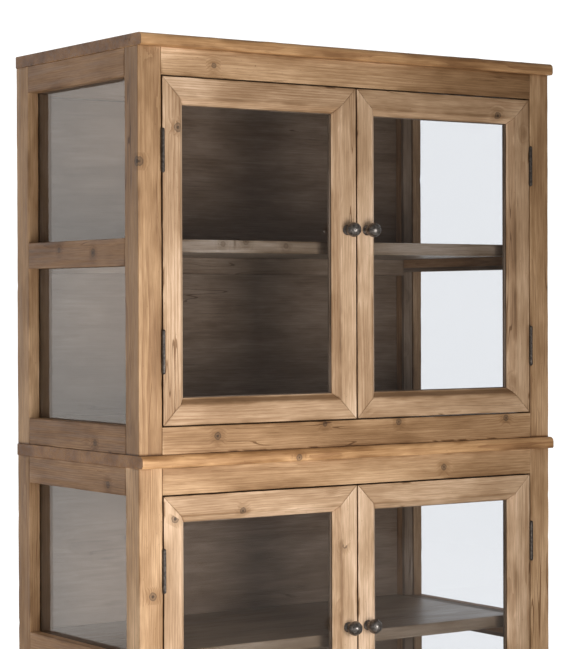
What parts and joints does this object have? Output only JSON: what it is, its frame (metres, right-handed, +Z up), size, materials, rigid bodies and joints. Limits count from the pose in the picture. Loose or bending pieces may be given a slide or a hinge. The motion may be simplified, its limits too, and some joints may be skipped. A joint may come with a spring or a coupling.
{
  "type": "pantry cabinet",
  "caption": "Tall glazed pine pantry cabinet in two stacked modules, each with a pair of framed glass doors, glass sides, a panelled back and a shelf.",
  "frame": {"origin": "on the floor, under the middle of the cabinet's box, knobs included", "axes": "+Z up; the doors face -Y, so +X is to the right of someone facing the doors"},
  "size_m": [1.204, 0.6266, 1.884],
  "materials": {
    "pine_carcass": "waxed reclaimed pine, mid brown",
    "pine_side": "waxed reclaimed pine, darker brown",
    "pine_board": "waxed reclaimed pine, mid brown",
    "pine_door": "waxed reclaimed pine, light brown",
    "pine_shelf": "waxed reclaimed pine, greyed",
    "pine_inside": "stained pine, dark brown",
    "back_panel": "stained plywood, dark brown, satin",
    "clear_glass": "clear float glass",
    "dark_iron": "blackened iron, rubbed to grey on the high spots",
    "steel_plate": "zinc-plated steel",
    "black_plastic": "matt black",
    "beech_dowel": "bare beech"
  },
  "bodies": {
    "carcass": {"lower_top_board": "pine_board", "lower_post_front_left": "pine_carcass", "lower_post_front_right": "pine_carcass", "lower_post_rear_left": "pine_carcass", "lower_post_rear_right": "pine_carcass", "lower_front_top_rail": "pine_carcass", "lower_front_bottom_rail": "pine_carcass", "lower_side_rails": "pine_side", "lower_back_rails": "pine_inside", "lower_back_panels": "back_panel", "lower_floor_board": "pine_inside", "lower_shelf": "pine_shelf", "lower_side_glass": "clear_glass", "lower_side_beads": "pine_inside", "upper_top_board": "pine_board", "upper_post_front_left": "pine_carcass", "upper_post_front_right": "pine_carcass", "upper_post_rear_left": "pine_carcass", "upper_post_rear_right": "pine_carcass", "upper_front_top_rail": "pine_carcass", "upper_front_bottom_rail": "pine_carcass", "upper_side_rails": "pine_side", "upper_back_rails": "pine_inside", "upper_back_panels": "back_panel", "upper_floor_board": "pine_inside", "upper_shelf": "pine_shelf", "upper_side_glass": "clear_glass", "upper_side_beads": "pine_inside", "hinge_post_leaves": "dark_iron", "hinge_pins": "dark_iron", "hinge_post_screws": "dark_iron", "magnetic_catches": "black_plastic", "joint_dowels": "beech_dowel", "stacking_pegs": "beech_dowel", "floor_glides": "black_plastic"},
    "lower_left_door": {"lower_left_door_frame": "pine_door", "lower_left_door_glass": "clear_glass", "lower_left_door_beads": "pine_inside", "lower_left_knob": "dark_iron", "lower_left_hinge_leaves": "dark_iron", "lower_left_strike": "steel_plate"},
    "lower_right_door": {"lower_right_door_frame": "pine_door", "lower_right_door_glass": "clear_glass", "lower_right_door_beads": "pine_inside", "lower_right_knob": "dark_iron", "lower_right_hinge_leaves": "dark_iron", "lower_right_strike": "steel_plate"},
    "upper_left_door": {"upper_left_door_frame": "pine_door", "upper_left_door_glass": "clear_glass", "upper_left_door_beads": "pine_inside", "upper_left_knob": "dark_iron", "upper_left_hinge_leaves": "dark_iron", "upper_left_strike": "steel_plate"},
    "upper_right_door": {"upper_right_door_frame": "pine_door", "upper_right_door_glass": "clear_glass", "upper_right_door_beads": "pine_inside", "upper_right_knob": "dark_iron", "upper_right_hinge_leaves": "dark_iron", "upper_right_strike": "steel_plate"}
  },
  "joints": [
    {"name": "lower_left_door_hinge", "type": "hinge", "parent": "carcass", "child": "lower_left_door", "pos_m": [-0.5385, -0.27125, 0.46], "axis": [0, 0, -1], "range_deg": [0, 170]},
    {"name": "lower_right_door_hinge", "type": "hinge", "parent": "carcass", "child": "lower_right_door", "pos_m": [0.5385, -0.27125, 0.46], "axis": [0, 0, 1], "range_deg": [0, 170]},
    {"name": "upper_left_door_hinge", "type": "hinge", "parent": "carcass", "child": "upper_left_door", "pos_m": [-0.5385, -0.27125, 1.4], "axis": [0, 0, -1], "range_deg": [0, 170]},
    {"name": "upper_right_door_hinge", "type": "hinge", "parent": "carcass", "child": "upper_right_door", "pos_m": [0.5385, -0.27125, 1.4], "axis": [0, 0, 1], "range_deg": [0, 170]}
  ]
}
